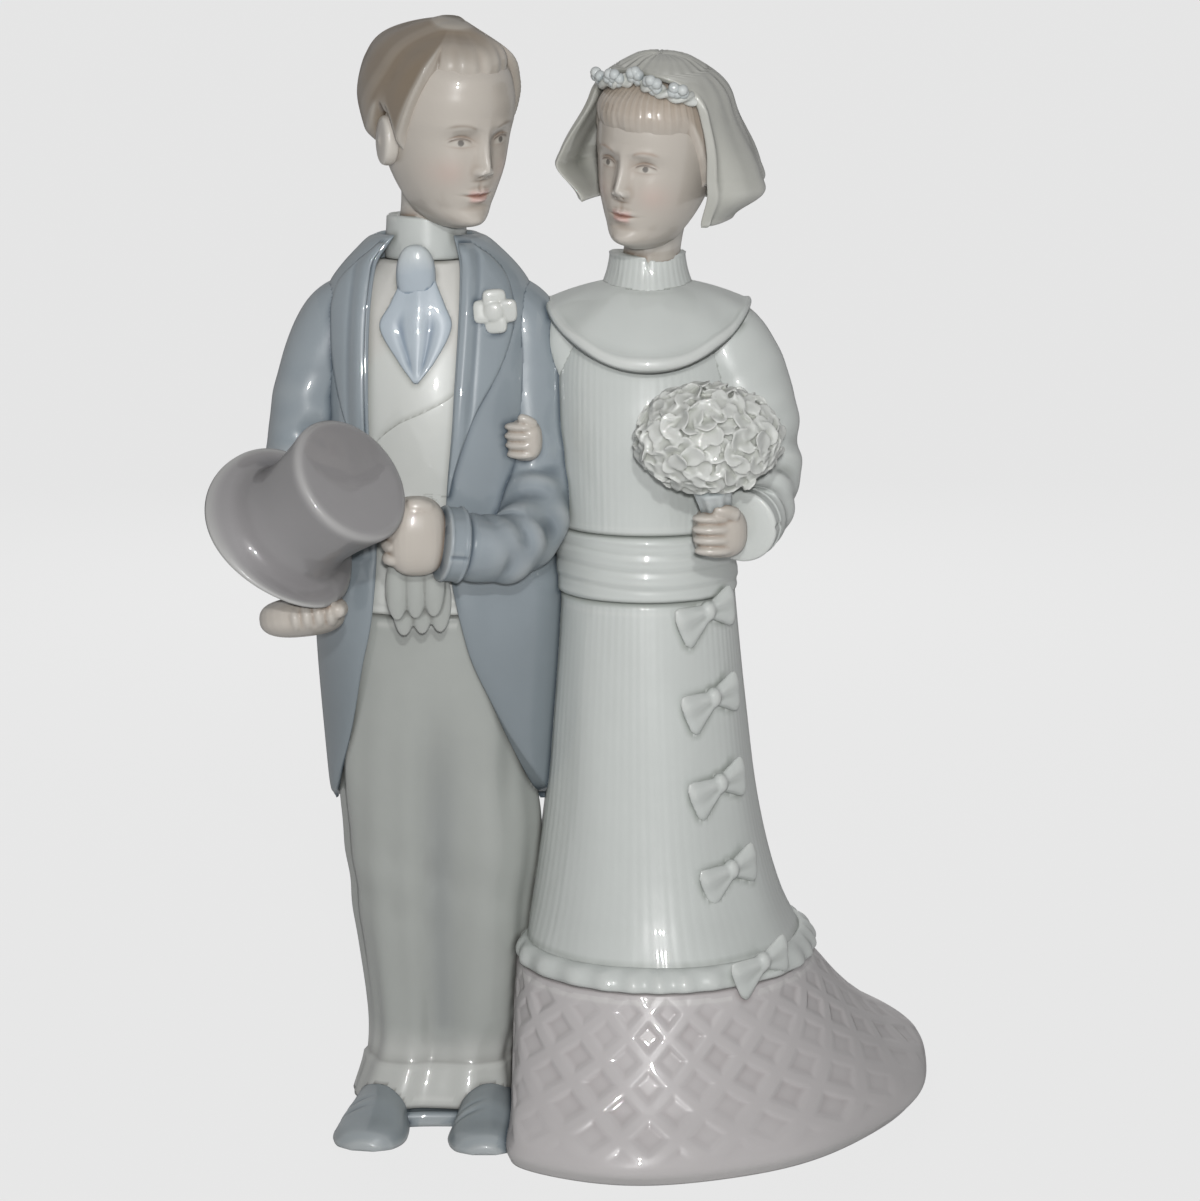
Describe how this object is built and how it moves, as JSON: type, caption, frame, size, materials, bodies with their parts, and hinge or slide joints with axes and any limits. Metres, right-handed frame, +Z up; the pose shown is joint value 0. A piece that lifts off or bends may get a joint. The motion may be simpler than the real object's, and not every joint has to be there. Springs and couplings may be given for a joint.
{
  "type": "wedding couple figurine",
  "caption": "Glazed porcelain bride and groom standing arm in arm, with top hat, gloves, veil, bouquet and a swept train; stands on its gown and shoes.",
  "frame": {"origin": "on the surface that the figurine stands on, under the middle of its bounding box", "axes": "+Z up, -Y towards the viewer, +X to the viewer's right, the bride's side"},
  "size_m": [0.1266, 0.096, 0.1951],
  "materials": {
    "skin": "glazed porcelain, pale flesh tint",
    "groom_hair": "glazed porcelain, grey-brown",
    "hat": "glazed porcelain, mid grey",
    "shoes": "glazed porcelain, slate blue-grey",
    "waistcoat": "glazed porcelain, warm white",
    "trousers": "glazed porcelain, light grey",
    "cravat": "glazed porcelain, pale blue",
    "coat": "glazed porcelain, pale blue-grey",
    "flowers": "glazed porcelain, white",
    "bride_hair": "glazed porcelain, light brown",
    "veil": "glazed porcelain, soft white",
    "beads": "glazed porcelain, bluish white",
    "gown": "glazed porcelain, soft white",
    "train": "glazed porcelain, white with a lilac tint"
  },
  "bodies": {
    "root": {"groom_head": "skin", "groom_hair": "groom_hair", "top_hat": "hat", "shoe_right": "shoes", "shoe_left": "shoes", "foot_slab": "shoes", "shirt_collar": "waistcoat", "groom_trousers": "trousers", "waistcoat": "waistcoat", "waistcoat_flap": "waistcoat", "cravat_knot": "cravat", "cravat_blades": "cravat", "morning_coat": "coat", "lapel_right": "coat", "lapel_left": "coat", "tail_button_right": "coat", "tail_button_left": "coat", "buttonhole_flower": "flowers", "groom_hand_right": "skin", "groom_sleeve_right": "coat", "groom_cuff_left": "coat", "groom_hand_left": "skin", "groom_sleeve_left": "coat", "gloves": "trousers", "bride_head": "skin", "bride_hair": "bride_hair", "veil": "veil", "wreath_band": "flowers", "wreath_beads_1": "beads", "wreath_beads_2": "beads", "wreath_beads_3": "beads", "wreath_beads_4": "beads", "wreath_beads_5": "beads", "neckband": "gown", "bodice": "gown", "cape_collar": "gown", "sash": "gown", "overskirt": "gown", "base_plate": "train", "underskirt": "train", "hem_roll": "gown", "bow_1": "gown", "bow_2": "gown", "bow_3": "gown", "bow_4": "gown", "bow_5": "gown", "bouquet_flowers": "flowers", "bouquet_holder": "beads", "bride_hand_left": "skin", "bride_cuff_left": "gown", "bride_sleeve_left": "gown", "bride_hand_right": "skin", "bride_sleeve_right": "gown"}
  },
  "joints": []
}
